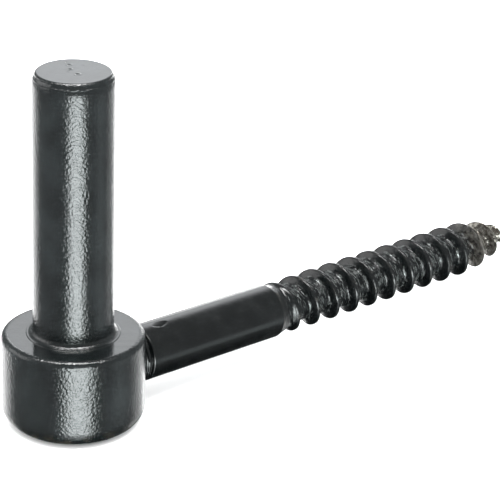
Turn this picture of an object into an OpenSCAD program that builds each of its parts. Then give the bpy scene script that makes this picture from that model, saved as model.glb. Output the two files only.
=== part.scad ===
// Gate hinge pin: an upright pin on a round boss, carried by a screw that goes into a timber post.
// Millimetres. The origin is on the pin's axis, at the boss's top face, where the gate's eye bears.
// +Z runs up the pin and +X runs out along the screw.

/* [Pin] */
// Diameter of the upright pin
pin_d = 13; // [10:0.5:16]
// Height of the pin above the boss's top face
pin_h = 44; // [30:1:70]
// How far the chamfer at the pin's end comes in from its side
pin_chamfer_in = 0.55; // [0.2:0.05:1.5]
// Height of the chamfer at the pin's end
pin_chamfer_h = 1.25; // [0.4:0.05:3]
// Radius of the hollow fillet where the pin grows out of the boss
pin_fillet_r = 1.4; // [0.5:0.1:2]

/* [Boss] */
// Diameter of the boss
boss_d = 23.2; // [21:0.2:32]
// Height of the boss
boss_h = 15.4; // [14:0.2:24]
// Radius of the rounding round the boss's top face
boss_top_r = 1; // [0.4:0.1:1.6]
// Radius of the rounding round the boss's foot
boss_foot_r = 3; // [1:0.1:4]

/* [Screw] */
// Depth of the screw's axis below the boss's top face
screw_drop = 7.7; // [6.6:0.1:8.4]
// Diameter of the plain shank
shank_d = 9.3; // [8.6:0.1:9.6]
// Length of the plain shank, up to the edge where it starts to taper
shank_l = 28; // [15:0.1:60]
// Chamfer at the shank's inner end, beside the boss
shank_chamfer = 0.2; // [0.1:0.05:0.8]
// Length of the cone from the shank down to the thread's core
shank_taper_l = 4.8; // [2:0.1:8]

/* [Stud in the boss] */
// Diameter of the screw's machine threaded stud, at the tops of its thread
stud_d = 9.2; // [8:0.1:9.6]
// Depth that the stud goes into the boss
stud_in = 12; // [8:0.5:15]
// Length of stud left showing between the boss and the shank
stud_out = 1.4; // [1:0.1:5]
// Distance between the thread's ridges on the stud
stud_pitch = 1; // [0.75:0.05:1.5]
// Depth of the grooves between those ridges
stud_groove = 0.4; // [0.2:0.05:0.8]
// Gap round the stud in its hole
stud_gap = 0.04; // [0.01:0.01:0.15]

/* [Wood thread] */
// Diameter over the thread's crests
thread_d = 9.5; // [9:0.1:12]
// Diameter of the core under the thread
core_d = 6.6; // [5:0.1:7.4]
// Advance of the thread in one turn
pitch = 4.5; // [3.5:0.1:6]
// Length of the threaded end, from the shank's edge to the tip
thread_l = 57; // [40:1:120]
// Length of the nose over which the crests come down to the tip
nose_l = 14; // [8:0.5:20]
// Width of the flat along a crest
crest_w = 0.5; // [0.3:0.05:1]
// Width of a thread ridge where it leaves the core
ridge_w = 2.3; // [1.6:0.1:3.2]
// Drop of the rounded shoulders beside a crest
crest_round = 0.25; // [0.1:0.05:0.4]
// Diameter of the blunt end of the core
tip_d = 2; // [1.6:0.1:4]
// Number of flats that make one turn of the thread
thread_steps = 32; // [24:4:40]

/* [Mark on the shank] */
// Distance of the mark's middle from the shank's inner end
mark_from_end = 4; // [2:0.1:10]
// Length of the mark along the shank
mark_l = 3.2; // [1.5:0.1:5]
// Depth of the mark at its middle
mark_depth = 0.1; // [0.05:0.01:0.4]
// Turn of the mark from the top of the shank, toward the front
mark_turn = 8; // [-90:1:90]

/* [Hidden] */
coat = [0.17, 0.18, 0.19];
coat_screw = [0.14, 0.15, 0.16];
round_fn = 96;
pin_r = pin_d / 2;
boss_r = boss_d / 2;
stud_r = stud_d / 2;
hole_r = stud_r + stud_gap;
shank_r = shank_d / 2;
thread_r = thread_d / 2;
core_r = core_d / 2;
tip_r = tip_d / 2;
tip_round = 0.6;

// Stations along the screw, measured from the pin's axis
stud_end_x = boss_r - stud_in;
shank_x = boss_r + stud_out;
taper_x = shank_x + shank_l;
tip_x = taper_x + thread_l;
nose_x = tip_x - nose_l;

// The thread ridge is sunk into the core by this much, and rises from inside the shank
ridge_bite = 0.25;
lead_in = 90;
// Angle at which the crest crosses the shank's edge, from the top over the front
lead_angle = 178;
// Share of its full radius that the crest has there, and the turns in which it gets the rest
lead_share = 0.95;
lead_turns = 2.5;
// How far short of the tip the ridge ends, the length before the tip over which its turns draw together,
// and how many times closer they lie there
run_out = 0.4;
close_l = 4.5;
close_by = 1.4;

// Plain length kept at the stud's inner end, and the shares of a pitch at which a ridge's flat top ends
// and the groove's floor starts and ends
stud_plain = 0.3;
ridge_top = 0.35;
groove_from = 0.6;
groove_to = 0.75;

// A rounding of radius r about the point c, from the angle a0 to the angle a1
function arc(c, r, a0, a1, n = 12) =
    [for (i = [0:n]) let (a = a0 + (a1 - a0) * i / n) c + r * [cos(a), sin(a)]];

// Half section of the pin and boss, from the foot round the outside to the pin's end
function body_outline() = concat(
    [[0, -boss_h]],
    arc([boss_r - boss_foot_r, boss_foot_r - boss_h], boss_foot_r, -90, 0),
    arc([boss_r - boss_top_r, -boss_top_r], boss_top_r, 0, 90, 8),
    arc([pin_r + pin_fillet_r, pin_fillet_r], pin_fillet_r, 270, 180, 8),
    [[pin_r, pin_h - pin_chamfer_h], [pin_r - pin_chamfer_in, pin_h], [0, pin_h]]
);

// Half section of the ridges on the stud, from its inner end to the groove beside the shank
stud_ridges = floor((shank_x - stud_end_x - stud_plain) / stud_pitch);
function stud_outline() = [
    for (i = [stud_ridges:-1:1])
        let (x = shank_x - i * stud_pitch)
        each [
            [stud_r, x], [stud_r, x + ridge_top * stud_pitch],
            [stud_r - stud_groove, x + groove_from * stud_pitch],
            [stud_r - stud_groove, x + (i == 1 ? 1 : groove_to) * stud_pitch]
        ]
];

// Half section of the whole screw without its thread ridge, from the stud's end to the tip
function screw_outline() = concat(
    [[0, stud_end_x], [stud_r, stud_end_x]],
    stud_outline(),
    [
        [shank_r - shank_chamfer, shank_x], [shank_r, shank_x + shank_chamfer],
        [shank_r, taper_x], [core_r, taper_x + shank_taper_l], [core_r, nose_x]
    ],
    arc([tip_r - tip_round, tip_x - tip_round], tip_round, 0, 90, 4),
    [[0, tip_x]]
);

// Share of its full radius that the crest has at the place x: its lead at the shank, and its round nose
function lead(x) = min(1, lead_share + (1 - lead_share) * (x - taper_x) / (lead_turns * pitch));
function nose(x) = x < nose_x ? 1 : sqrt(max(0, 1 - pow((x - nose_x) / nose_l, 2)));

// Radius of the core at the place x
function core_at(x) = x < nose_x ? core_r : core_r + (tip_r - core_r) * (x - nose_x) / nose_l;

// Place of the crest at the angle a: one pitch to a turn, and less where the turns draw together
function crest_x(a) =
    let (x = taper_x + pitch * (a - lead_angle) / 360, close_x = tip_x - close_l)
    x < close_x ? x : close_x + (x - close_x) / close_by;

// One section of the thread ridge: six points over the ridge at the angle a, from the shank's side.
// It narrows over its last millimetres, as it runs out at the tip.
function ridge_ring(a) =
    let (
        x = crest_x(a),
        share = min(1, (tip_x - x) / ridge_w),
        bevel = share * crest_round,
        foot = core_at(x) - ridge_bite,
        crest = max(thread_r * lead(x) * nose(x), foot + 2 * bevel),
        half = share * crest_w / 2,
        base = share * ridge_w / 2,
        knots = [
            [-base, foot], [-half - bevel, crest - bevel], [-half, crest],
            [half, crest], [half + bevel, crest - bevel], [base, foot]
        ]
    )
    [for (k = knots) [x + k[0], -k[1] * sin(a), k[1] * cos(a)]];

// Coarse thread ridge of the wood screw, one closed solid swept along a right-hand helix
module thread_ridge() {
    step = 360 / thread_steps;
    turns = (thread_l - close_l + (close_l - run_out) * close_by) / pitch;
    count = floor(turns * thread_steps) + floor(lead_in / step);
    rings = [for (i = [0:count]) ridge_ring(lead_angle - lead_in + i * step)];
    knots = 6;
    sides = [
        for (i = [0:count - 1], j = [0:knots - 1])
            let (a = i * knots + j, b = i * knots + (j + 1) % knots)
            each [[a, b, b + knots], [a, b + knots, a + knots]]
    ];
    start_cap = [for (j = [1:knots - 2]) [0, j + 1, j]];
    last = count * knots;
    end_cap = [for (j = [1:knots - 2]) [last, last + j, last + j + 1]];
    polyhedron(points = [for (r = rings) each r], faces = concat(sides, start_cap, end_cap));
}

// Shallow scoop across the shank, near the boss
module shank_mark() {
    scoop_r = (pow(mark_l / 2, 2) + pow(mark_depth, 2)) / (2 * mark_depth);
    rotate([mark_turn, 0, 0])
        translate([shank_x + mark_from_end, 0, shank_r - mark_depth + scoop_r])
        rotate([90, 0, 0])
        cylinder(h = shank_d, r = scoop_r, center = true, $fn = round_fn);
}

// Pin and boss in one piece, with the blind tapped hole that takes the screw's stud
module hinge_pin() {
    color(coat)
    difference() {
        rotate_extrude($fn = round_fn) polygon(body_outline());
        translate([stud_end_x, 0, -screw_drop])
            rotate([0, 90, 0])
            cylinder(h = boss_d, r = hole_r, $fn = round_fn);
    }
}

// Screw for the post: machine threaded stud, plain shank and coarse wood thread
module wood_screw() {
    color(coat_screw)
    translate([0, 0, -screw_drop])
    difference() {
        union() {
            rotate([0, 90, 0]) rotate_extrude($fn = round_fn) polygon(screw_outline());
            thread_ridge();
        }
        shank_mark();
    }
}

hinge_pin();
wood_screw();
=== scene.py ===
"""Gate hinge pin: an upright pin on a round boss, carried by a screw that goes into a timber post.

Sizes are in millimetres in the model's own frame: the origin is on the pin's axis at the boss's top face,
+Z runs up the pin and +X runs out along the screw. A mesh is turned into metres when it is made.
"""

from __future__ import annotations

import logging
from collections.abc import Callable
from dataclasses import dataclass
from enum import Enum

import bmesh
import bpy
import numpy as np
from mathutils import Matrix, Vector

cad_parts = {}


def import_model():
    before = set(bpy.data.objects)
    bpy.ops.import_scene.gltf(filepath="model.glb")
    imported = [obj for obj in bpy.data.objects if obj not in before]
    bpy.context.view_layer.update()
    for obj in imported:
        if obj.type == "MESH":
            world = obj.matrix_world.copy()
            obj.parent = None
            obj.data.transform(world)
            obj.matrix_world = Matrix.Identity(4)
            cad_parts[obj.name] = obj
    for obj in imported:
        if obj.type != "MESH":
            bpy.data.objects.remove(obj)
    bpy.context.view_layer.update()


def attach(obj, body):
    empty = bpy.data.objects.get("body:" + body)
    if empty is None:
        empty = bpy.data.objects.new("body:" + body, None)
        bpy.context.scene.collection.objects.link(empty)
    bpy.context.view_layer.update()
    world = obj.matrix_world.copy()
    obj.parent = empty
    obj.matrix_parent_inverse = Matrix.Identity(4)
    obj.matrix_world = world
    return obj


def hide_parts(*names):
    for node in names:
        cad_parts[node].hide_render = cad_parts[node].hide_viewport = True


Array = np.ndarray
Relief = Callable[[Array], Array]
Radius = Callable[[Array, Array], Array]
Socket = bpy.types.NodeSocket
Pair = tuple[float, float]
Triple = tuple[float, float, float]

LOG = logging.getLogger("gate_hinge_pin")
TURN = 2 * np.pi
# Metres in a millimetre, and the distance in metres at which two points of a mesh become one
MM = 0.001
WELD = 1e-7
# Distance in millimetres at which two points of an outline are the same
SAME_PLACE = 1e-9
# Angle between two faces, in degrees, from which the edge between them is sharp
SHARP_DEG = 50
# Wavelengths of an uneven field over its middle one, and the value at which it is clipped
WAVE_SPREAD = (0.7, 1.4)
WAVE_PEAK = 1.6


class Part(Enum):
    """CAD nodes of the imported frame."""

    PIN = "hinge_pin"
    SCREW = "wood_screw"


class Slot(Enum):
    """Material slots of the record."""

    COAT = "black_coat"
    SCREW_COAT = "black_coat_screw"


def straight(start: Pair, end: Pair, step: float) -> Array:
    """Points on a straight line, evenly spaced: start + share * (end - start).

    Args:
        start: First point.
        end: Last point.
        step: Longest distance between two points.

    Returns:
        The points, both ends among them, as rows.
    """
    a, b = np.array(start, float), np.array(end, float)
    count = max(1, int(np.ceil(np.linalg.norm(b - a) / step)))
    return a + np.linspace(0, 1, count + 1)[:, None] * (b - a)


def arc(centre: Pair, radius: float, start: float, end: float, count: int) -> Array:
    """Points on a circular arc: centre + radius * (cosine, sine) of evenly spaced angles.

    Args:
        centre: Centre of the arc.
        radius: Radius of the arc.
        start: First angle in degrees.
        end: Last angle in degrees.
        count: Number of points.

    Returns:
        The points as rows.
    """
    angle = np.radians(np.linspace(start, end, count))
    return np.array(centre, float) + radius * np.column_stack([np.cos(angle), np.sin(angle)])


def chain(*lines: Array) -> Array:
    """Joins lines end to end into one outline, and drops a point that repeats the one before it."""
    points = np.concatenate(lines)
    fresh = np.linalg.norm(np.diff(points, axis=0), axis=1) > SAME_PLACE
    return points[np.concatenate([[True], fresh])]


def waves(points: Array, wavelength: float, seed: int, count: int = 20) -> Array:
    """Smooth uneven field from -1 to 1: plane sine waves in seeded directions, added up.

    The sum is divided by the square root of their count, clipped at its peak and divided by it.

    Args:
        points: Places in millimetres, as rows.
        wavelength: Middle wavelength of the waves in millimetres.
        seed: Seed of the directions and phases.
        count: Number of waves.

    Returns:
        One value for each point.
    """
    rng = np.random.default_rng(seed)
    ways = rng.normal(size=(count, 3))
    ways /= np.linalg.norm(ways, axis=1, keepdims=True)
    ways *= TURN / (wavelength * rng.uniform(*WAVE_SPREAD, size=(count, 1)))
    phase = rng.uniform(0, TURN, size=count)
    total = np.sin(points @ ways.T + phase).sum(axis=1) / np.sqrt(count)
    return np.clip(total, -WAVE_PEAK, WAVE_PEAK) / WAVE_PEAK


def smooth_max(a: Array, b: Array, blend: float) -> Array:
    """Larger of two fields with a hollow rounding between them: (a + b + sqrt((a - b)^2 + blend^2)) / 2."""
    return (a + b + np.sqrt((a - b) ** 2 + blend**2)) / 2


def smooth_min(a: Array, b: Array, blend: float) -> Array:
    """Smaller of two fields with an outer rounding between them: (a + b - sqrt((a - b)^2 + blend^2)) / 2."""
    return (a + b - np.sqrt((a - b) ** 2 + blend**2)) / 2


def ease(share: Array) -> Array:
    """Smooth step of a share from 0 to 1: share^2 * (3 - 2 * share), level beyond both ends."""
    share = np.clip(share, 0, 1)
    return share * share * (3 - 2 * share)


def bell(value: Array, middle: float, width: float) -> Array:
    """Narrow bell round a middle: e to the power of minus ((value - middle) / width)^2."""
    return np.exp(-(((value - middle) / width) ** 2))


class Shell:
    """Patches of one closed surface, kept as whole arrays until its mesh is made."""

    def __init__(self) -> None:
        """Starts with no patch."""
        self.points: list[Array] = []
        self.faces: list[Array] = []
        self.count = 0

    def add(self, grid: Array, keep: Array | None = None, flip: bool = False) -> None:
        """Adds a patch: a grid of points, each cell of it one four-sided face.

        Args:
            grid: Points in millimetres, rows by columns by 3.
            keep: Which cells get a face, rows - 1 by columns - 1. All of them if it is None.
            flip: Turns the faces over.
        """
        rows, columns, _ = grid.shape
        index = self.count + np.arange(rows * columns).reshape(rows, columns)
        cells = np.stack([index[:-1, :-1], index[:-1, 1:], index[1:, 1:], index[1:, :-1]], axis=-1)
        faces = cells[keep] if keep is not None else cells.reshape(-1, 4)
        self.points.append(grid.reshape(-1, 3))
        self.faces.append(faces[:, ::-1] if flip else faces)
        self.count += rows * columns

    def make(self, name: str, relief: Relief | None = None) -> bpy.types.Object:
        """Makes the patches one smooth mesh, joined where their edges meet.

        Args:
            name: Name of the piece.
            relief: Gives how far each point moves outwards along its normal, in millimetres.

        Returns:
            The object, at the origin, with its place in its mesh.
        """
        mesh = bpy.data.meshes.new(name)
        mesh.from_pydata(np.concatenate(self.points) * MM, [], np.concatenate(self.faces))
        work = bmesh.new()
        work.from_mesh(mesh)
        bmesh.ops.remove_doubles(work, verts=work.verts, dist=WELD)
        work.to_mesh(mesh)
        work.free()
        if relief is not None:
            co, normal = read_points(mesh), np.empty(len(mesh.vertices) * 3, np.float32)
            mesh.vertex_normals.foreach_get("vector", normal)
            co += normal.reshape(-1, 3) * relief(co)[:, None]
            mesh.vertices.foreach_set("co", (co * MM).astype(np.float32).ravel())
        mesh.polygons.foreach_set("use_smooth", np.ones(len(mesh.polygons), bool))
        mesh.set_sharp_from_angle(angle=np.radians(SHARP_DEG))
        mesh.update()
        piece = bpy.data.objects.new(name, mesh)
        bpy.context.scene.collection.objects.link(piece)
        return piece


def read_points(mesh: bpy.types.Mesh) -> Array:
    """Points of a mesh in millimetres, as rows."""
    co = np.empty(len(mesh.vertices) * 3, np.float32)
    mesh.vertices.foreach_get("co", co)
    return co.reshape(-1, 3).astype(float) / MM


def write_field(mesh: bpy.types.Mesh, name: str, values: Array) -> None:
    """Keeps a value or a vector for each point of a mesh as an attribute that a material reads."""
    kind, key = ("FLOAT", "value") if values.ndim == 1 else ("FLOAT_VECTOR", "vector")
    layer = mesh.attributes.new(name, kind, "POINT")
    layer.data.foreach_set(key, values.astype(np.float32).ravel())


class Nodes:
    """Short way to lay out a node tree: most calls make one node and give its first output."""

    def __init__(self, owner: bpy.types.Material | bpy.types.World) -> None:
        """Empties the node tree of a material or a world."""
        owner.use_nodes = True
        self.tree = owner.node_tree
        self.tree.nodes.clear()

    def put(self, socket: Socket, value: object) -> None:
        """Links another node's output to a socket, or sets the socket's own value."""
        if isinstance(value, Socket):
            self.tree.links.new(value, socket)
        else:
            socket.default_value = value

    def node(self, kind: str, settings: dict[str, object], inputs: dict[str | int, object]) -> bpy.types.Node:
        """Makes a node.

        Args:
            kind: Blender's name for the node, without its ShaderNode.
            settings: Properties of the node.
            inputs: Values or other nodes' outputs, by the socket's name or place.

        Returns:
            The node.
        """
        made = self.tree.nodes.new("ShaderNode" + kind)
        for key, value in settings.items():
            setattr(made, key, value)
        for key, value in inputs.items():
            self.put(made.inputs[key], value)
        return made

    def place(self) -> Socket:
        """The point on the object in millimetres."""
        at = self.tree.nodes.new("ShaderNodeTexCoord").outputs["Object"]
        return self.scaled(at, (1 / MM,) * 3)

    def scaled(self, vector: Socket, by: Triple) -> Socket:
        """A vector times another, part by part."""
        return self.node("VectorMath", {"operation": "MULTIPLY"}, {0: vector, 1: by}).outputs[0]

    def attribute(self, name: str, vector: bool = False) -> Socket:
        """An attribute of the mesh, as a value or as a vector."""
        made = self.node("Attribute", {"attribute_name": name}, {})
        return made.outputs["Vector" if vector else "Fac"]

    def noise(self, at: Socket, size: float, detail: float = 2.0,
              rough: float = 0.5) -> Socket:
        """Noise from 0 to 1 whose grains are about size millimetres across."""
        inputs = {"Vector": at, "Scale": 1 / size, "Detail": detail, "Roughness": rough}
        return self.node("TexNoise", {}, inputs).outputs[0]

    def ramp(self, value: Socket, low: float, high: float, out_low: float = 0.0,
             out_high: float = 1.0) -> Socket:
        """Smooth step of a value: out_low below low, out_high above high."""
        settings = {"interpolation_type": "SMOOTHSTEP"}
        inputs = {0: value, 1: low, 2: high, 3: out_low, 4: out_high}
        return self.node("MapRange", settings, inputs).outputs[0]

    def math(self, operation: str, a: object, b: object) -> Socket:
        """One arithmetic step on two values."""
        return self.node("Math", {"operation": operation}, {0: a, 1: b}).outputs[0]

    def mix(self, share: object, a: object, b: object) -> Socket:
        """Colour a where share is 0, and colour b where it is 1."""
        return self.node("Mix", {"data_type": "RGBA"}, {0: share, 6: a, 7: b}).outputs[2]

    def bump(self, height: Socket, depth: float,
             below: Socket | None = None) -> Socket:
        """Normal of a height field that is depth millimetres deep, on top of the normal below."""
        made = self.node("Bump", {}, {"Height": height, "Distance": depth * MM, "Strength": 1.0})
        if below is not None:
            self.put(made.inputs["Normal"], below)
        return made.outputs[0]


class Finish(Nodes):
    """Nodes of a material with a Principled shader on its output."""

    def __init__(self, name: str) -> None:
        """Starts the material."""
        self.material = bpy.data.materials.new(name)
        super().__init__(self.material)
        self.shader = self.node("BsdfPrincipled", {}, {})
        self.node("OutputMaterial", {}, {"Surface": self.shader.outputs[0]})

    def give(self, name: str, value: object) -> None:
        """Gives one of the shader's sockets a value or another node's output."""
        self.put(self.shader.inputs[name], value)


def colour(red: float, green: float, blue: float) -> tuple[float, float, float, float]:
    """An opaque colour."""
    return (red, green, blue, 1.0)


@dataclass(frozen=True)
class BlackCoat:
    """Semi-gloss black coat of the pin and its boss, with the fine grain of a sprayed or dipped coat."""

    tint: Triple = (0.0035, 0.0044, 0.0046)
    dusty: Triple = (0.008, 0.01, 0.0104)
    foot_tint: Triple = (0.04, 0.034, 0.025)
    gloss_low: float = 0.1
    gloss_high: float = 0.16
    grain: float = 0.38
    grain_depth: float = 0.084
    ring: float = 0.3
    ring_depth: float = 0.006

    def build(self, foot_z: float, flat_r: float, top_z: float) -> bpy.types.Material:
        """Makes the material.

        Args:
            foot_z: Height of the boss's foot in millimetres.
            flat_r: Radius of the boss's flat top face.
            top_z: Height of the pin's end.

        Returns:
            The material.
        """
        n = Finish("black_coat")
        at = n.place()
        height = n.node("SeparateXYZ", {}, {0: at}).outputs[2]
        cloud = n.noise(at, 5.0, 3.0)
        body = n.mix(n.ramp(cloud, 0.35, 0.75), colour(*self.tint), colour(*self.dusty))
        # Brown patches over the foot's rounding, the lowest 3 mm of the boss, laid into the base colour
        near_foot = n.ramp(height, foot_z + 0.2, foot_z + 3.2, 1.0, 0.0)
        brown_on_foot = n.math("MULTIPLY", near_foot, n.ramp(n.noise(at, 2.2, 4.0), 0.42, 0.7))
        n.give("Base Color", n.mix(brown_on_foot, body, colour(*self.foot_tint)))
        n.give("Roughness", n.ramp(n.noise(at, 1.7, 3.0), 0.3, 0.7, self.gloss_low, self.gloss_high))
        n.shader.inputs["IOR"].default_value = 1.5
        n.shader.inputs["Specular IOR Level"].default_value = 0.5

        flat_place = n.scaled(at, (1.0, 1.0, 0.0))
        reach = n.node("VectorMath", {"operation": "LENGTH"}, {0: flat_place}).outputs["Value"]
        below_fillet = n.ramp(height, 0.05, 0.2, 1.0, 0.0)
        on_boss = n.math("MULTIPLY", n.ramp(height, -0.12, -0.03), below_fillet)
        on_end = n.ramp(height, top_z - 0.1, top_z - 0.04)
        turned = n.math("MAXIMUM", n.math("MULTIPLY", on_boss, n.ramp(reach, flat_r - 0.1, flat_r, 1.0, 0.0)),
                        n.math("MULTIPLY", on_end, 0.6))
        ring_at = n.node("CombineXYZ", {}, {0: reach}).outputs[0]
        rings = n.math("MULTIPLY", n.noise(ring_at, self.ring, 2.0), turned)
        rough_side = n.ramp(turned, 0.0, 0.2, 1.0, 0.2)
        grain = n.math("MULTIPLY", n.noise(at, self.grain, 2.0, 0.45), rough_side)
        n.give("Normal", n.bump(rings, self.ring_depth, n.bump(grain, self.grain_depth)))
        return n.material


@dataclass(frozen=True)
class ScrewCoat:
    """Glossier black coat of the screw, thin in the thread's grooves and worn to brown steel at the tip."""

    tint: Triple = (0.0012, 0.0016, 0.0017)
    dusty: Triple = (0.0025, 0.0031, 0.0032)
    thin: Triple = (0.13, 0.14, 0.137)
    steel: Triple = (0.27, 0.257, 0.233)
    brown: Triple = (0.05, 0.044, 0.036)
    gloss_low: float = 0.12
    gloss_high: float = 0.24
    streak_depth: float = 0.14
    grain_depth: float = 0.012

    def build(self, thread_from: float, worn_from: float, worn_to: float) -> bpy.types.Material:
        """Makes the material.

        Args:
            thread_from: Place along the screw where its thread starts, in millimetres.
            worn_from: Place along the screw where the coat starts to be worn through, in millimetres.
            worn_to: Place from which it is worn nearly everywhere.

        Returns:
            The material.
        """
        n = Finish("black_coat_screw")
        at = n.place()
        x = n.node("SeparateXYZ", {}, {0: at}).outputs[0]
        lay, turn = n.attribute("thread_lay", vector=True), n.attribute("thread_turn")
        inputs = {"Vector": lay, "W": turn, "Scale": 1.0, "Detail": 3.0, "Roughness": 0.55}
        streak = n.node("TexNoise", {"noise_dimensions": "4D"}, inputs).outputs[0]
        body = n.mix(n.ramp(streak, 0.4, 0.75), colour(*self.tint), colour(*self.dusty))
        on_thread = n.ramp(x, thread_from + 0.5, thread_from + 4.0)
        in_groove = n.math("MULTIPLY", on_thread, n.attribute("groove"))
        thin = n.math("MULTIPLY", in_groove, n.ramp(streak, 0.5, 0.66))
        body = n.mix(thin, body, colour(*self.thin))
        patches = n.noise(at, 1.4, 4.0, 0.6)
        reach = n.math("ADD", x, n.math("MULTIPLY", patches, 5.0))
        bare = n.ramp(reach, worn_from + 1.5, worn_to + 3.5, 0.0, 0.9)
        rubbed = n.math("MULTIPLY", n.attribute("wear"), n.ramp(patches, 0.5, 0.75, 0.0, 0.2))
        metal = n.math("MAXIMUM", bare, rubbed)
        steel = n.mix(n.ramp(streak, 0.35, 0.65), colour(*self.brown), colour(*self.steel))
        n.give("Base Color", n.mix(metal, body, steel))
        n.give("Metallic", n.math("MAXIMUM", n.math("MULTIPLY", metal, 0.95), thin))
        n.give("Roughness", n.ramp(streak, 0.3, 0.7, self.gloss_low, self.gloss_high))
        n.shader.inputs["IOR"].default_value = 1.5
        n.shader.inputs["Specular IOR Level"].default_value = 0.5
        on_rolled = n.ramp(x, thread_from, thread_from + 4.0, 0.12, 1.0)
        normal = n.bump(n.math("MULTIPLY", streak, on_rolled), self.streak_depth)
        n.give("Normal", n.bump(n.noise(at, 0.5, 2.0), self.grain_depth, normal))
        return n.material


@dataclass(frozen=True)
class PaleFloor:
    """Plain matt off-white of the floor."""

    tint: Triple = (0.9, 0.9, 0.9)
    rough: float = 0.9

    def build(self) -> bpy.types.Material:
        """Makes the material."""
        n = Finish("pale_floor")
        n.shader.inputs["Base Color"].default_value = colour(*self.tint)
        n.shader.inputs["Roughness"].default_value = self.rough
        n.shader.inputs["Specular IOR Level"].default_value = 0.0
        return n.material


@dataclass(frozen=True)
class Dent:
    """A small round dent with a raised lip in the pin's end: its place, its radius and its depth."""

    x: float
    y: float
    radius: float
    depth: float
    lip_at: float = 1.15
    lip_w: float = 0.3
    lip_h: float = 0.5

    def height(self, points: Array) -> Array:
        """Height over the flat face: minus the depth times (1 - q^2)^2, with q the distance over the radius.

        The lip is a narrow bell of q, and its height is a share of the dent's depth.

        Args:
            points: Places in millimetres, as rows.

        Returns:
            One height for each point.
        """
        q = np.hypot(points[:, 0] - self.x, points[:, 1] - self.y) / self.radius
        return self.depth * (self.lip_h * bell(q, self.lip_at, self.lip_w) - np.clip(1 - q**2, 0, 1) ** 2)


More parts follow.
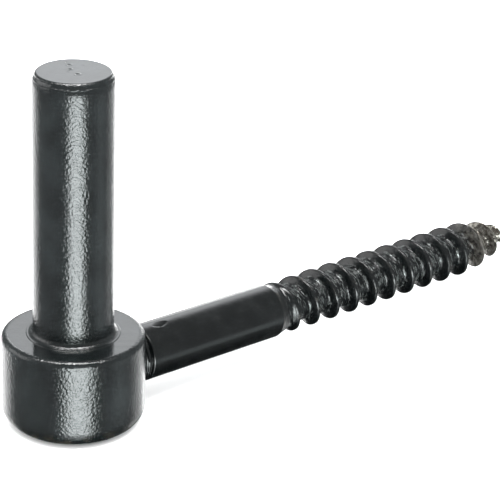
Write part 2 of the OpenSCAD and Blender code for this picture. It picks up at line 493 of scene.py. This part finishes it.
@dataclass(frozen=True)
class PinAndBoss:
    """Upright pin and its round boss, turned in one piece, with the blind hole that takes the screw."""

    pin_r: float = 6.5
    pin_h: float = 44.0
    end_r: float = 5.76
    boss_r: float = 11.6
    boss_h: float = 15.4
    fillet_r: float = 0.95
    ledge_h: float = 0.12
    ledge_w: float = 0.16
    top_r: float = 1.0
    foot_r: float = 3.0
    hole_z: float = -7.7
    hole_r: float = 4.64
    hole_edge: float = 0.08
    hole_end_x: float = -0.4
    hole_frame: float = 0.55
    skirt_rows: int = 9
    wall_rows: int = 20
    floor_rows: int = 6
    columns: int = 300
    lump: float = 0.016
    inset: float = 0.04
    dents: tuple[Dent, ...] = (
        Dent(-0.39, -1.49, 0.44, 0.075), Dent(0.03, 1.02, 0.36, 0.065), Dent(1.13, 2.81, 0.38, 0.07),
        Dent(1.5, 4.0, 0.26, 0.035), Dent(2.75, 1.4, 0.22, 0.03), Dent(-0.9, 0.3, 0.2, 0.03),
        Dent(-2.3, -2.4, 0.2, 0.02), Dent(-3.1, 1.6, 0.18, 0.02), Dent(3.6, -1.1, 0.2, 0.02),
    )

    def side_radius(self, z: Array) -> Array:
        """Radius of the boss's side at a height: straight, and a quarter circle down to the foot."""
        drop = np.clip(self.foot_r - self.boss_h - z, 0, self.foot_r)
        return self.boss_r - self.foot_r + np.sqrt(self.foot_r**2 - drop**2)

    def lower_outline(self) -> Array:
        """Half section from the foot's centre up to the boss's top edge, as rows of radius and height."""
        foot_z = -self.boss_h
        foot_in = self.boss_r - self.foot_r
        return chain(
            straight((0, foot_z), (foot_in - 0.2, foot_z), 0.9),
            straight((foot_in - 0.2, foot_z), (foot_in, foot_z), 0.1),
            arc((foot_in, foot_z + self.foot_r), self.foot_r, -90, 0, 26),
            straight((self.boss_r, foot_z + self.foot_r), (self.boss_r, -self.top_r), 0.3),
        )

    def end_outline(self) -> Array:
        """Half section of the turned steps at the pin's end, its corners softened.

        Rows lie evenly between the corners. Each then becomes half of itself and a quarter of each
        neighbour.

        Returns:
            Its points, as rows of radius and height.
        """
        r, top = self.pin_r, self.pin_h
        knots = np.array([
            (r, top - 2.1), (r - 0.02, top - 1.75), (r - 0.1, top - 1.3), (r - 0.15, top - 1.18),
            (r - 0.165, top - 0.98), (r - 0.24, top - 0.9), (r - 0.4, top - 0.56), (r - 0.43, top - 0.48),
            (r - 0.45, top - 0.3), (r - 0.54, top - 0.2), (self.end_r + 0.06, top - 0.08)])
        spread = np.linspace(0, len(knots) - 1, 5 * (len(knots) - 1) + 1)
        rows = np.column_stack([np.interp(spread, np.arange(len(knots)), knots[:, i]) for i in (0, 1)])
        soft = rows.copy()
        soft[1:-1] = 0.25 * rows[:-2] + 0.5 * rows[1:-1] + 0.25 * rows[2:]
        return soft

    def upper_outline(self) -> Array:
        """Half section from the boss's top edge to the centre of the pin's end."""
        r, top = self.pin_r, self.pin_h
        ledge_in, flat_out = r + self.fillet_r, self.boss_r - self.top_r
        flat_in = ledge_in + self.ledge_w
        ledge = np.array([(flat_in, 0), (flat_in - 0.03, 0.004), (flat_in - 0.06, 0.03),
                          (flat_in - 0.075, self.ledge_h - 0.04), (flat_in - 0.1, self.ledge_h - 0.012),
                          (flat_in - 0.13, self.ledge_h), (ledge_in, self.ledge_h)])
        return chain(
            arc((flat_out, -self.top_r), self.top_r, 0, 90, 14),
            straight((flat_out, 0), (flat_out - 0.15, 0), 0.1),
            straight((flat_out - 0.15, 0), (flat_in + 0.15, 0), 0.3),
            straight((flat_in + 0.15, 0), (flat_in, 0), 0.1),
            ledge,
            arc((ledge_in, self.ledge_h + self.fillet_r), self.fillet_r, 270, 180, 14),
            straight((r, self.ledge_h + self.fillet_r), (r, top - 2.1), 0.45),
            self.end_outline(),
            straight((self.end_r, top), (self.end_r - 0.2, top), 0.1),
            straight((self.end_r - 0.2, top), (4.6, top), 0.4),
            straight((4.6, top), (0, top), 0.16),
        )

    def relief(self, points: Array) -> Array:
        """Unevenness of the coat, always inwards: minus a depth times a wave field, and none on the foot.

        Args:
            points: Places in millimetres, as rows.

        Returns:
            The move along the normal in millimetres.
        """
        uneven = 0.6 * waves(points, 3.4, 11) + 0.4 * waves(points, 1.6, 12)
        reach = np.hypot(points[:, 0], points[:, 1])
        side = -self.lump * (0.5 - 0.5 * uneven) * np.clip((points[:, 2] + self.boss_h) / 0.5, 0, 1)
        end = side - self.inset + sum(dent.height(points) for dent in self.dents)
        on_end = points[:, 2] > self.pin_h - 0.001
        inside = (np.hypot(points[:, 1], points[:, 2] - self.hole_z) < self.hole_r + 0.05) & (
            reach < self.boss_r - 0.3)
        return np.where(inside, 0.0, np.where(on_end, end, side))

    def hole_patches(self, theta: Array, heights: Array) -> list[Array]:
        """Patches from a rectangle cut out of the side to the hole's edge, down its wall and over its end.

        The first patch runs from the rectangle's outline to the hole's edge, which is a circle seen along X:
        y is the radius times the cosine and z the radius times the sine of the angle that the outline's own
        point has round the hole's centre. Between them the turn and the height change evenly.

        Args:
            theta: Turns of the columns of the rectangle, in radians.
            heights: Heights of its rows, in millimetres.

        Returns:
            The patches, as grids of points.
        """
        rest = len(heights) - 2
        turn = np.concatenate([theta, np.full(rest, theta[-1]), theta[::-1], np.full(rest, theta[0]),
                               theta[:1]])
        height = np.concatenate([np.full(len(theta), heights[0]), heights[1:-1],
                                 np.full(len(theta), heights[-1]), heights[-2:0:-1], heights[:1]])
        angle = np.arctan2(height - self.hole_z, turn * self.boss_r)
        edge_r = self.hole_r + self.hole_edge
        edge_z = self.hole_z + edge_r * np.sin(angle)
        edge_turn = np.arcsin(edge_r * np.cos(angle) / self.side_radius(edge_z))
        share = np.linspace(0, 1, self.skirt_rows)[:, None]
        share = share * (2 - share)
        z = height * (1 - share) + edge_z * share
        t = turn * (1 - share) + edge_turn * share
        radius = self.side_radius(z)
        skirt = np.stack([radius * np.cos(t), radius * np.sin(t), z], axis=-1)

        wall_x = skirt[-1, :, 0] - self.hole_edge
        down = np.linspace(0, 1, self.wall_rows)[:, None]
        wall_at = np.broadcast_arrays(wall_x * (1 - down) + self.hole_end_x * down,
                                      self.hole_r * np.cos(angle), self.hole_z + self.hole_r * np.sin(angle))
        wall = np.concatenate([skirt[-1:], np.stack(wall_at, axis=-1)])
        inwards = np.linspace(1, 0, self.floor_rows)[:, None]
        end = np.stack([np.full((self.floor_rows, len(angle)), self.hole_end_x),
                        self.hole_r * inwards * np.cos(angle),
                        self.hole_z + self.hole_r * inwards * np.sin(angle)], axis=-1)
        return [skirt, wall, end]

    def build(self) -> bpy.types.Object:
        """Builds the pin and boss: the half section turned about Z, its side opened for the screw's hole.

        Returns:
            The piece.
        """
        lower, upper = self.lower_outline(), self.upper_outline()
        theta = np.linspace(-np.pi, np.pi, self.columns + 1)
        outline = chain(lower, upper)
        grid = np.stack([outline[:, :1] * np.cos(theta), outline[:, :1] * np.sin(theta),
                         np.broadcast_to(outline[:, 1:], (len(outline), len(theta)))], axis=-1)
        reach = self.hole_r + self.hole_edge + self.hole_frame
        half = int(np.ceil(np.arcsin(reach / self.boss_r) / (TURN / self.columns)))
        first, last = self.columns // 2 - half, self.columns // 2 + half
        side = np.nonzero(outline[: len(lower), 0] > self.boss_r - 0.35)[0]
        heights = outline[side, 1]
        low = side[np.nonzero(heights <= self.hole_z - reach)[0][-1]]
        high = side[np.nonzero(heights >= self.hole_z + reach)[0][0]]
        keep = np.ones((len(outline) - 1, self.columns), bool)
        keep[low:high, first:last] = False

        shell = Shell()
        shell.add(grid, keep=keep)
        for patch in self.hole_patches(theta[first:last + 1], outline[low:high + 1, 1]):
            shell.add(patch)
        return shell.make("pin_and_boss", self.relief)


@dataclass(frozen=True)
class PostScrew:
    """Screw for the post: machine threaded stud, plain shank and coarse wood thread with a worn blunt tip."""

    axis_z: float = -7.7
    stud_end_x: float = -0.4
    stud_r: float = 4.6
    stud_pitch: float = 1.0
    stud_groove: float = 0.42
    stud_groove_w: float = 0.3
    stud_floor: float = 0.85
    stud_blend: float = 0.06
    stud_turns: int = 12
    neck: float = 0.3
    neck_fade: float = 0.08
    shank_x: float = 13.0
    shank_r: float = 4.65
    shank_edge: float = 0.2
    taper_x: float = 41.0
    taper_l: float = 4.8
    taper_edge_w: float = 0.12
    taper_edge_h: float = 0.04
    core_r: float = 3.3
    crest_r: float = 4.75
    pitch: float = 4.5
    crest_angle: float = 178.0
    crest_w: float = 0.46
    crest_lean: float = 0.18
    crest_up: float = 0.09
    crest_rise: float = 0.02
    crest_sway: float = 0.05
    shoulder_blend: float = 0.12
    edge_blend: float = 0.05
    root_blend: float = 0.06
    root_sink: float = 0.02
    ridge_w: float = 1.85
    close_l: float = 4.5
    close_by: float = 1.4
    nose_x: float = 84.0
    dimple: float = 0.07
    tip_x: float = 98.0
    tip_r: float = 1.0
    tip_round: float = 0.6
    tip_face: float = 0.4
    tip_rows: int = 34
    thread_rows: int = 27
    mark_x: float = 17.0
    mark_turn: float = 8.0
    mark_half_l: float = 1.6
    mark_half_w: float = 0.85
    mark_depth: float = 0.24
    mark_reach: float = 2.1
    mark_step: float = 0.09
    worn_from: float = 87.5
    worn_to: float = 92.0
    columns: int = 160

    def place(self, x: Array, angle: Array, radius: Array) -> Array:
        """Points round the screw: x along it, the radius turned by the angle from the top over the front."""
        x, angle, radius = np.broadcast_arrays(x, angle, radius)
        return np.stack([x, -radius * np.sin(angle), radius * np.cos(angle) + self.axis_z], axis=-1)

    def core(self, x: Array) -> Array:
        """Radius of the screw without its wood thread: straight lines between its stations."""
        knots = [
            (self.shank_x, self.shank_r - self.shank_edge),
            (self.shank_x + self.shank_edge, self.shank_r),
            (self.taper_x - self.taper_edge_w, self.shank_r),
            (self.taper_x, self.shank_r - self.taper_edge_h),
            (self.taper_x + self.taper_l, self.core_r), (self.nose_x, self.core_r), (self.tip_x, self.tip_r),
        ]
        at, radius = np.array(knots).T
        return np.interp(x, at, radius)

    def crest(self, x: Array) -> Array:
        """Radius of the crests: a little less over the first turns, and a quarter ellipse down to the tip."""
        lead = np.clip(0.95 + 0.05 * (x - self.taper_x) / (2.5 * self.pitch), 0, 1)
        share = np.clip((x - self.nose_x) / (self.tip_x - self.nose_x), 0, 1)
        return self.crest_r * lead * np.sqrt(1 - share**2)

    def off_crest(self, x: Array, angle: Array) -> Array:
        """Distance along the screw from the nearest crest, which climbs one pitch in each right-hand turn.

        Over the last stretch the turns lie closer together. The place is stretched there, so that the climb
        stays even, and the distance is shrunk again.

        Args:
            x: Places along the screw.
            angle: Turns from the top over the front, in radians.

        Returns:
            The distances, from minus to plus half a pitch.
        """
        past = np.maximum(x - (self.tip_x - self.close_l), 0)
        line = self.taper_x + self.pitch * (angle - np.radians(self.crest_angle)) / TURN
        off = (x + past * (self.close_by - 1) - line + self.pitch / 2) % self.pitch - self.pitch / 2
        return off / np.where(past > 0, self.close_by, 1)

    def thread(self, x: Array, angle: Array) -> Array:
        """Radius of the threaded end: the core, and on it a ridge with straight flanks and a leaning crest.

        Each flank climbs evenly from its foot, half the ridge's width away, to the edge of the crest. The
        crest leans toward the shank, crest - lean * (edge - off), with a broad rounded shoulder on that side
        and a crisp edge toward the tip. The ridge runs into the core with a small hollow fillet.

        Args:
            x: Places along the screw.
            angle: Turns from the top over the front, in radians.

        Returns:
            The radii.
        """
        x, angle = np.broadcast_arrays(x, angle)
        core, crest = self.core(x), self.crest(x)
        around = self.place(x, angle, crest).reshape(-1, 3)
        wobble = waves(around, 3.6, 21).reshape(x.shape)
        narrow = np.clip((self.tip_x - x) / self.ridge_w, 0.05, 1)
        off = (self.off_crest(x, angle) + self.crest_sway * wobble) / narrow
        rise = np.maximum(crest - core, 0.05)
        foot, edge = self.ridge_w / 2, self.crest_w / 2
        near = core + rise * (foot + off) / (foot - edge)
        far = core + rise * (foot - off) / (foot - edge)
        top = crest + self.crest_up - self.crest_rise * wobble - self.crest_lean * (edge - off)
        ridge = smooth_min(smooth_min(top, near, self.shoulder_blend), far, self.edge_blend)
        dimpled = 0.5 * waves(around, 2.2, 22) + 0.5 * waves(around, 0.9, 24, 40)
        root = core + self.dimple * dimpled.reshape(x.shape)
        body = smooth_max(root - self.root_sink, ridge, self.root_blend)
        return np.minimum(body, np.maximum(crest, core))

    def tip(self, x: Array, radius: Array) -> Array:
        """Rounds a radius off at the blunt end: a quarter ellipse over the last stretch."""
        left = np.clip((self.tip_x - x) / self.tip_round, 0, 1)
        return radius * np.sqrt(1 - (1 - left) ** 2 * (1 - self.tip_face**2))

    def threaded(self, x: Array, angle: Array) -> Array:
        """Radius of the threaded end with its blunt tip rounded off."""
        return self.tip(x, self.thread(x, angle))

    def stud(self, x: Array, angle: Array) -> Array:
        """Radius of the machine thread: flat crests with V grooves that climb one pitch in each turn."""
        phase = (x - self.shank_x) / self.stud_pitch - angle / TURN
        off = np.abs(phase % 1 - 0.5) * self.stud_pitch
        depth = self.stud_groove * np.clip(1 - off / self.stud_groove_w, 0, 1)
        floor = np.full_like(depth, self.stud_groove * self.stud_floor)
        return self.stud_r - smooth_min(depth, floor, self.stud_blend)

    def necked(self, x: Array, angle: Array) -> Array:
        """Radius of the groove between the stud's last ridge and the shank."""
        share = np.clip((x - (self.shank_x - self.neck)) / self.neck_fade, 0, 1)
        return self.stud(x, angle) * (1 - share) + (self.stud_r - self.stud_groove) * share

    def shank(self, x: Array, angle: Array) -> Array:
        """Radius of the plain shank with the nick near the boss.

        The nick is a lens, pointed at both ends. Its floor slopes evenly down from its upper edge to a
        deepest line near its lower edge, where a short steep wall rises to a narrow raised lip.

        Args:
            x: Places along the screw.
            angle: Turns from the top over the front, in radians.

        Returns:
            The radii.
        """
        x, angle = np.broadcast_arrays(x, angle)
        along = (x - self.mark_x) / self.mark_half_l
        turned = (angle - np.radians(self.mark_turn) + np.pi) % TURN - np.pi
        half = np.clip(1 - along**2, 0, 1)
        across = turned * self.shank_r / self.mark_half_w / np.maximum(half, 0.05)
        nick = np.clip((1 + across) / 1.75, 0, 1) * np.clip((1 - across) / 0.25, 0, 1)
        lip = bell(across, 1.12, 0.16) * half
        uneven = 0.005 * waves(self.place(x, angle, self.shank_r).reshape(-1, 3), 7.0, 23).reshape(x.shape)
        return self.core(x) - self.mark_depth * nick * np.sqrt(half) + 0.03 * lip - 0.005 + uneven

    def band(self, radius: Radius, start: float, pitch: float, turns: int, knots: Array) -> list[Array]:
        """Patches of a screw surface whose rows follow the thread, between two flat ends.

        The main patch is a strip one pitch wide: at a turn t and a share s it lies at
        start + pitch * (t + s). Before it a wedge opens from the flat start, start + pitch * s * t over its
        one turn, and after it a wedge closes to the flat end.

        Args:
            radius: Radius at a place along the screw and a turn.
            start: Place of the flat start.
            pitch: Advance in one turn.
            turns: Whole turns of the strip. The band is one pitch longer.
            knots: Shares of a pitch at which the rows lie, from 0 to 1.

        Returns:
            The patches, as grids of points.
        """
        s = knots[:, None]
        once = np.linspace(0, 1, self.columns + 1)[None, :]
        many = np.linspace(0, turns, turns * self.columns + 1)[None, :]
        opening = start + pitch * s * once
        strip = start + pitch * (many + s)
        closing = start + pitch * (turns + once + s * (1 - once))
        return [self.place(x, TURN * t, radius(x, TURN * t))
                for x, t in ((opening, once), (strip, many), (closing, once))]

    def rows(self, radius: Radius, stations: Array) -> Array:
        """A patch of rings: each station's radius turned about the screw's axis."""
        angle = np.linspace(0, TURN, self.columns + 1)[None, :]
        x = stations[:, None]
        return self.place(x, angle, radius(*np.broadcast_arrays(x, angle)))

    def cap(self, x: float, ring: Array, count: int = 5) -> Array:
        """A flat patch from the axis out to a ring of points at the place x."""
        centre = np.array([x, 0.0, self.axis_z])
        share = np.linspace(0, 1, count)[:, None, None]
        return centre + share * (ring[None] - centre)

    def stud_patches(self) -> list[Array]:
        """Patches of the stud: its hidden inner end, its thread and the groove beside the shank.

        The second ring of the inner end lies past the thread's start, and there its radius is nothing.

        Returns:
            The patches, as grids of points.
        """
        start = self.shank_x - self.neck - (self.stud_turns + 1) * self.stud_pitch
        plain = np.array([self.stud_end_x, self.stud_end_x + 0.2, start])[:, None]
        bevel = np.interp(plain, [self.stud_end_x, self.stud_end_x + 0.2], [0.5, 0.0])
        angle = np.linspace(0, TURN, self.columns + 1)[None, :]
        inner = self.place(plain, angle, np.where(plain < start, self.stud_r - bevel, 0))
        inner[-1] = self.rows(self.stud, plain[-1])[0]
        thread = self.band(self.stud, start, self.stud_pitch, self.stud_turns, np.linspace(0, 1, 9))
        groove = self.shank_x - np.array([self.neck, 0.22, 0.02, 0.0])
        return [self.cap(self.stud_end_x, inner[0]), inner, *thread, self.rows(self.necked, groove)]

    def shank_patch(self) -> Array:
        """Patch of the shank, its rows close together at both ends and round the nick."""
        near_mark = np.arange(self.mark_x - self.mark_reach, self.mark_x + self.mark_reach, self.mark_step)
        return self.rows(self.shank, np.concatenate([
            [self.shank_x, self.shank_x + 0.1, self.shank_x + 0.2, self.shank_x + 0.26],
            np.linspace(self.shank_x + 0.4, near_mark[0] - 0.2, 5), near_mark,
            np.linspace(near_mark[-1] + 0.2, self.taper_x - 0.3, 40),
            [self.taper_x - 0.2, self.taper_x - 0.12, self.taper_x - 0.06, self.taper_x]]))

    def thread_patches(self) -> list[Array]:
        """Patches of the threaded end, its rows closest together on the crest, and of its blunt tip.

        Returns:
            The patches, as grids of points.
        """
        crest_at = (-self.crest_angle / 360) % 1
        spread = np.linspace(-0.5, 0.5, self.thread_rows)
        spread = np.sign(spread) * np.abs(spread * 2) ** 1.25 / 2
        knots = np.sort(np.concatenate([[0.0, 1.0], (crest_at + spread[1:-1]) % 1]))
        turns = int((self.tip_x - self.taper_x) / self.pitch) - 1
        band = self.band(self.threaded, self.taper_x, self.pitch, turns, knots)
        tail_x = self.taper_x + self.pitch * (turns + 1)
        stations = self.tip_x - (self.tip_x - tail_x) * (1 - np.linspace(0, 1, self.tip_rows)) ** 1.3
        tail = self.rows(self.threaded, stations)
        return [*band, tail, self.cap(self.tip_x, tail[-1])[::-1]]

    def build(self) -> bpy.types.Object:
        """Builds the screw from its inner end to its tip as one closed surface.

        Returns:
            The piece, with the attributes that its material reads.
        """
        stud, shank = self.stud_patches(), self.shank_patch()
        face = np.stack([stud[-1][-1], shank[0]])
        rim = np.stack([shank[-1], self.rows(self.threaded, np.array([self.taper_x]))[0]])
        shell = Shell()
        for patch in (*stud, face, shank, rim, *self.thread_patches()):
            shell.add(patch)
        piece = shell.make("post_screw")
        self.mark_fields(piece.data)
        return piece

    def mark_fields(self, mesh: bpy.types.Mesh) -> None:
        """Keeps where a point lies across the thread, so that streaks follow it, and how rubbed it is there.

        thread_lay and thread_turn are the four parts of a place in noise. The first two are a circle that
        turns once in a pitch across the thread, and the others a circle that turns once round the screw,
        which drifts along it. wear rises from 0 to 1 near the radius of the crests, and groove near the core.

        Args:
            mesh: The screw's mesh.
        """
        co = read_points(mesh)
        x, height = co[:, 0], co[:, 2] - self.axis_z
        angle = np.arctan2(-co[:, 1], height)
        radius = np.hypot(co[:, 1], height)
        across = TURN * self.off_crest(x, angle) / self.pitch
        lay = np.column_stack([2.3 * np.cos(across), 2.3 * np.sin(across), 2.9 * np.cos(angle)])
        plain = np.column_stack([0.35 * x, 1.5 * np.cos(angle), 1.5 * np.sin(angle)])
        threaded = np.clip((x - self.taper_x) / 1.5, 0, 1)[:, None]
        write_field(mesh, "thread_lay", lay * threaded + plain * (1 - threaded))
        write_field(mesh, "thread_turn", (2.9 * np.sin(angle) + 0.4 * x) * threaded[:, 0])
        near = np.clip((radius - self.crest(x) + 0.16) / 0.14, 0, 1)
        write_field(mesh, "wear", near * (x > self.taper_x))
        write_field(mesh, "groove", np.clip((self.core(x) + 0.3 - radius) / 0.2, 0, 1))


@dataclass(frozen=True)
class Panel:
    """A soft light panel: a piece of a sphere's surface round the object that glows evenly, with soft edges.

    Turns are in degrees to the right of the camera, seen from above, and heights in degrees above level.
    Light passes through a panel, so that panels that overlap add up. One that isn't mirrored lights the
    object but doesn't show in its gloss. One that is over the object has its turns measured from straight up
    to the camera's right, and its heights from straight up toward the camera. Its edges fade over two shares
    of it, one for its turns and one for its heights.
    """

    name: str
    turn: Pair
    height: Pair
    power: float
    tint: Triple = (1.0, 1.0, 1.0)
    soft: Pair = (0.12, 0.12)
    mirrored: bool = True
    over: bool = False
    columns: int = 33
    rows: int = 17


@dataclass(frozen=True)
class Studio:
    """Pale floor, soft light panels and the camera."""

    eye: Triple = (-196.8, -270.8, 160.6)
    azimuth: float = -40.765
    elevation: float = 23.539
    roll: float = 1.991
    lens: float = 166.6
    sensor: float = 36.0
    clip: Pair = (0.01, 50.0)
    floor_z: float = -15.4
    floor_half: float = 6000.0
    panel_r: float = 1400.0
    centre: Triple = (25.0, 0.0, 5.0)
    world: float = 0.44
    world_below: float = 0.02
    world_fall: Pair = (-0.8, -0.4)
    world_tint: Triple = (0.95, 1.0, 1.0)
    backdrop: float = 1.0
    backdrop_tint: Triple = (0.95, 0.95, 0.95)
    panels: tuple[Panel, ...] = (
        Panel("front_strip", (-14.0, 38.0), (-45.0, -2.0), 16.6, (0.93, 1.0, 1.0), (0.28, 0.5)),
        Panel("front_low", (-20.0, 44.0), (-82.0, -24.0), 4.0, (0.93, 1.0, 1.0), (0.4, 0.5)),
        Panel("top_bar", (-40.0, 40.0), (4.0, 17.0), 32.0, soft=(0.4, 0.2), over=True),
        Panel("right_fill", (64.0, 100.0), (-34.0, -12.0), 0.7, (0.85, 1.0, 1.0), (0.4, 0.3)),
        Panel("right_rim", (114.0, 156.0), (-50.0, -8.0), 1.15, soft=(0.25, 0.2)),
        Panel("right_edge", (146.0, 175.0), (-34.0, -6.0), 3.4, soft=(0.3, 0.3)),
        Panel("left_rim", (-177.0, -106.0), (-48.0, -2.0), 2.4, soft=(0.3, 0.3)),
        Panel("left_sky", (-122.0, -66.0), (-4.0, 40.0), 1.9, soft=(0.12, 0.3)),
        Panel("back_sky", (147.0, 207.0), (5.0, 50.0), 2.45, (0.95, 0.97, 1.0), (0.2, 0.5)),
        Panel("back_low", (158.0, 192.0), (-10.0, 13.0), 5.5, soft=(0.4, 0.3)),
        Panel("ceiling", (0.1, 359.9), (4.0, 89.0), 2.1, soft=(0.001, 0.001), mirrored=False),
    )

    def look(self) -> tuple[Array, Array, Array]:
        """Right, up and back of the camera, turned by its azimuth, elevation and roll."""
        az, el, roll = np.radians([self.azimuth, self.elevation, self.roll])
        back = np.array([np.sin(az) * np.cos(el), -np.cos(az) * np.cos(el), np.sin(el)])
        right = np.cross(-back, [0, 0, 1])
        right /= np.linalg.norm(right)
        up = np.cross(right, -back)
        return np.cos(roll) * right + np.sin(roll) * up, np.cos(roll) * up - np.sin(roll) * right, back

    def build_camera(self) -> None:
        """Places the camera where the photograph's was."""
        data = bpy.data.cameras.new("camera")
        data.lens, data.sensor_width, data.sensor_fit = self.lens, self.sensor, "HORIZONTAL"
        data.clip_start, data.clip_end = self.clip
        camera = bpy.data.objects.new("camera", data)
        pose = Matrix(np.column_stack(self.look()).tolist()).to_4x4()
        pose.translation = Vector(self.eye) * MM
        camera.matrix_world = pose
        bpy.context.scene.collection.objects.link(camera)
        bpy.context.scene.camera = camera

    def build_floor(self) -> None:
        """Lays the floor under the boss's foot."""
        side = np.array([-self.floor_half, self.floor_half])
        x, y = np.meshgrid(side, side, indexing="xy")
        shell = Shell()
        shell.add(np.stack([x, y, np.full_like(x, self.floor_z)], axis=-1))
        floor = shell.make("floor")
        floor.data.materials.append(PaleFloor().build())
        floor.visible_glossy = False
        floor.visible_shadow = False

    def build_panel(self, panel: Panel) -> None:
        """Makes a light panel: turn and height are its two parameters on a sphere round the object."""
        az = np.radians(self.azimuth)
        toward, right = np.array([np.sin(az), -np.cos(az), 0]), np.array([np.cos(az), np.sin(az), 0])
        up = np.array([0.0, 0.0, 1.0])
        ahead, pole = (up, toward) if panel.over else (toward, up)
        turn = np.radians(np.linspace(*panel.turn, panel.columns))[None, :, None]
        height = np.radians(np.linspace(*panel.height, panel.rows))[:, None, None]
        ways = np.cos(height) * (np.cos(turn) * ahead + np.sin(turn) * right) + np.sin(height) * pole
        shell = Shell()
        shell.add(np.array(self.centre) + self.panel_r * ways, flip=True)
        piece = shell.make(panel.name)
        u = np.linspace(0, 1, panel.columns)[None, :]
        v = np.linspace(0, 1, panel.rows)[:, None]
        glow = ease(np.minimum(u, 1 - u) / panel.soft[0]) * ease(np.minimum(v, 1 - v) / panel.soft[1])
        write_field(piece.data, "glow", glow.ravel())
        material = bpy.data.materials.new(panel.name)
        n = Nodes(material)
        power = n.math("MULTIPLY", n.attribute("glow"), panel.power)
        light = n.node("Emission", {}, {"Color": colour(*panel.tint), "Strength": power})
        clear = n.node("BsdfTransparent", {}, {})
        both = n.node("AddShader", {}, {0: light.outputs[0], 1: clear.outputs[0]})
        n.node("OutputMaterial", {}, {"Surface": both.outputs[0]})
        piece.data.materials.append(material)
        piece.visible_camera = False
        piece.visible_shadow = False
        piece.visible_glossy = panel.mirrored

    def build_world(self) -> None:
        """Gives an even surrounding: dim as light, dimmer far below, near white where the camera sees it."""
        world = bpy.data.worlds.new("studio")
        n = Nodes(world)
        way = n.node("SeparateXYZ", {}, {0: n.node("TexCoord", {}, {}).outputs["Generated"]}).outputs[2]
        inputs = dict(enumerate((way, *self.world_fall, self.world_below, self.world)))
        strength = n.node("MapRange", {}, inputs).outputs[0]
        lit = n.node("Background", {}, {"Color": colour(*self.world_tint), "Strength": strength})
        seen = n.node("Background", {}, {"Color": colour(*self.backdrop_tint), "Strength": self.backdrop})
        by_camera = n.node("LightPath", {}, {}).outputs["Is Camera Ray"]
        mix = n.node("MixShader", {}, {0: by_camera, 1: lit.outputs[0], 2: seen.outputs[0]})
        n.node("OutputWorld", {}, {"Surface": mix.outputs[0]})
        bpy.context.scene.world = world

    def build(self) -> None:
        """Builds the whole studio."""
        bpy.context.scene.view_settings.view_transform = "Standard"
        self.build_camera()
        self.build_floor()
        self.build_world()
        for panel in self.panels:
            self.build_panel(panel)


def carry(piece: bpy.types.Object, part: Part, finish: bpy.types.Material) -> None:
    """Puts a piece in the place of a CAD node and gives it its finish.

    Args:
        piece: The piece.
        part: The CAD node that it stands for.
        finish: Its material.
    """
    piece.data.materials.clear()
    piece.data.materials.append(finish)
    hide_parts(part.value)
    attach(piece, "root")
    LOG.info("%s: %d points, %d faces", piece.name, len(piece.data.vertices), len(piece.data.polygons))


def main() -> None:
    logging.basicConfig(level=logging.INFO, format="%(name)s %(message)s")
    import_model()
    pin, screw, studio = PinAndBoss(), PostScrew(), Studio()
    coat = BlackCoat().build(foot_z=-pin.boss_h, flat_r=pin.boss_r - pin.top_r, top_z=pin.pin_h)
    screw_coat = ScrewCoat().build(thread_from=screw.taper_x, worn_from=screw.worn_from,
                                    worn_to=screw.worn_to)
    carry(pin.build(), Part.PIN, coat)
    carry(screw.build(), Part.SCREW, screw_coat)
    studio.build()


if __name__ == "__main__":
    main()
